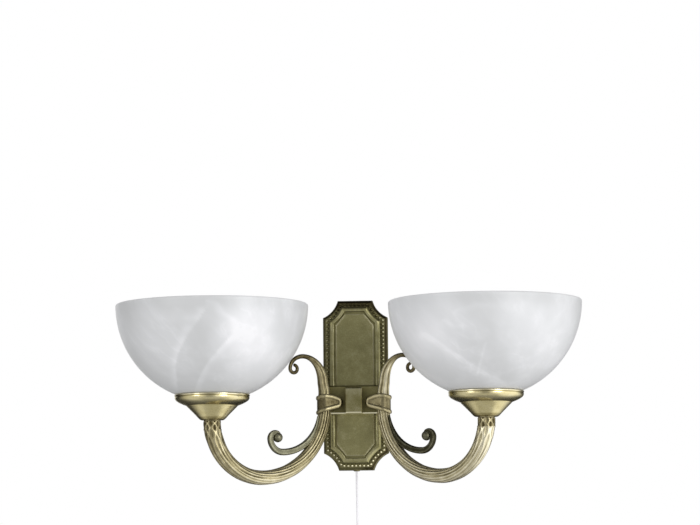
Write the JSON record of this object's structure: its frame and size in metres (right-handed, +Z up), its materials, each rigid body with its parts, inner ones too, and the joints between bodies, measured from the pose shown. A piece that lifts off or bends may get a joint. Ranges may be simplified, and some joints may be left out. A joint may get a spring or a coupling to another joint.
{
  "type": "wall lamp",
  "caption": "Wall bracket with reeded scroll arms on an oblong backplate, open marbled glass bowls on brass cups, and a pull cord switch.",
  "frame": {"origin": "middle of the wall strap's back face, on the wall, which is the middle of the backplate's back", "axes": "+X to the viewer's right, +Y into the wall, +Z up; the lamp stands off the wall towards -Y"},
  "size_m": [0.4254, 0.1932, 0.304],
  "materials": {
    "plate_brass": "antique, satin",
    "bar_brass": "antique, satin",
    "arm_brass": "antique, satin",
    "scroll_brass": "antique, darkened",
    "cup_brass": "antique, satin",
    "shade_glass": "white, marbled, satin",
    "lamp_glass": "white, frosted",
    "steel": "zinc plated",
    "turned_brass": "turned",
    "white_plastic": "moulded",
    "nylon": "plain",
    "insulation": "plain"
  },
  "bodies": {
    "lamp": {"backplate": "plate_brass", "wall_strap": "steel", "set_screws": "steel", "earth_screw": "turned_brass", "terminal_block": "white_plastic", "terminal_screws": "steel", "carrier_bar": "bar_brass", "bar_screws": "steel", "centre_block": "bar_brass", "block_screw": "steel", "plate_wiring": "insulation", "arm_socket_left": "plate_brass", "arm_socket_right": "plate_brass", "socket_bushes": "turned_brass", "arm_left": "arm_brass", "arm_right": "arm_brass", "tie_left": "arm_brass", "tie_right": "arm_brass", "upper_scroll_left": "arm_brass", "upper_scroll_right": "arm_brass", "lower_scroll_left": "scroll_brass", "lower_scroll_right": "scroll_brass", "neck_collar_left": "arm_brass", "neck_collar_right": "arm_brass", "nipple_left": "turned_brass", "nipple_right": "turned_brass", "cup_left": "cup_brass", "cup_right": "cup_brass", "cup_nut_left": "turned_brass", "cup_nut_right": "turned_brass", "arm_wire_left": "insulation", "arm_wire_right": "insulation", "lampholder_left": "white_plastic", "lampholder_right": "white_plastic", "lamp_shell_left": "turned_brass", "lamp_shell_right": "turned_brass", "lamp_contacts": "turned_brass", "shade_left": "shade_glass", "shade_right": "shade_glass", "shade_ring_left": "white_plastic", "shade_ring_right": "white_plastic", "lamp_glass_left": "lamp_glass", "lamp_glass_right": "lamp_glass", "lamp_cap_left": "steel", "lamp_cap_right": "steel", "switch_body": "white_plastic", "switch_cover": "white_plastic", "switch_screws": "steel", "switch_contacts": "turned_brass", "switch_spring": "steel", "cord_bush": "turned_brass"},
    "pull": {"switch_plunger": "nylon", "pull_cord": "nylon", "cord_knob": "white_plastic"},
    "ratchet": {"switch_cam": "nylon"}
  },
  "joints": [
    {"name": "cord_pull", "type": "slide", "parent": "lamp", "child": "pull", "axis": [0, 0, -1], "range_m": [0, 0.006], "stiffness_N_per_m": 800, "springref_m": -0.0025, "deforming": ["switch_spring"]},
    {"name": "ratchet_turn", "type": "hinge", "parent": "lamp", "child": "ratchet", "pos_m": [0, -0.0091, -0.056], "axis": [0, 1, 0], "range_deg": [0, 45]}
  ],
  "couplings": [
    {"joint": "ratchet_turn", "follows": "cord_pull", "rad_per_m": 130.89}
  ]
}
